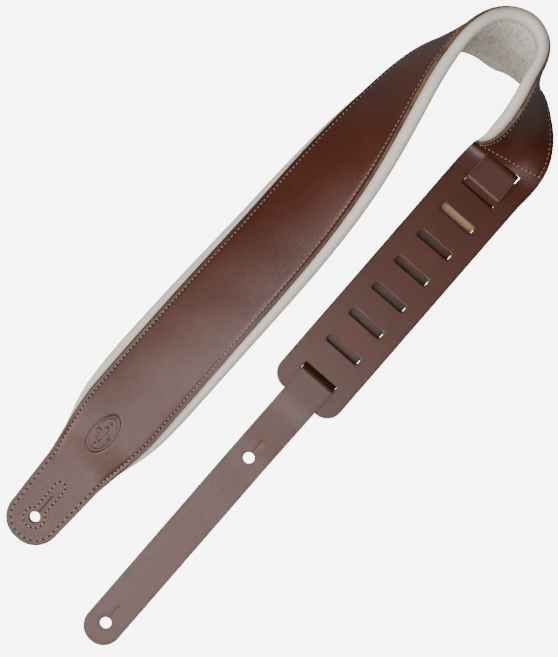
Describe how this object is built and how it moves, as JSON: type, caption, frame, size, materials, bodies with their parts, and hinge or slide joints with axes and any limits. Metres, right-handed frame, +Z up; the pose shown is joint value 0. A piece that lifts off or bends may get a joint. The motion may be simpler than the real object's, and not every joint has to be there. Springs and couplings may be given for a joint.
{
  "type": "guitar strap",
  "caption": "Padded leather guitar strap with rolled lining rims, a slotted ladder panel, a hooked adjusting tail and slit button holes at both ends.",
  "frame": {"origin": "centre of the tail's lower pin hole, on the surface that the strap lies on", "axes": "+Y runs up the tail and the ladder panel towards the U-turn, +Z up away from the surface, +X away from the leg with the head tab"},
  "size_m": [0.1741, 0.6035, 0.0858],
  "materials": {
    "top_leather": "satin waxed grain",
    "tail_leather": "satin waxed grain",
    "lining": "soft matt garment leather",
    "foam": "open-cell foam",
    "thread": "bonded thread"
  },
  "bodies": {
    "strap": {"top_leather": "top_leather", "head_backing": "tail_leather", "lining": "lining", "foam_core": "foam", "inner_edge_stitching": "thread", "outer_edge_stitching": "thread", "head_end_stitching": "thread", "keyhole_stitching": "thread", "pad_end_stitching": "thread"},
    "tail": {"tail_strap": "tail_leather"}
  },
  "joints": [
    {"name": "length_adjust", "type": "slide", "parent": "strap", "child": "tail", "axis": [0, -1, 0], "range_m": [0, 0.168]}
  ]
}
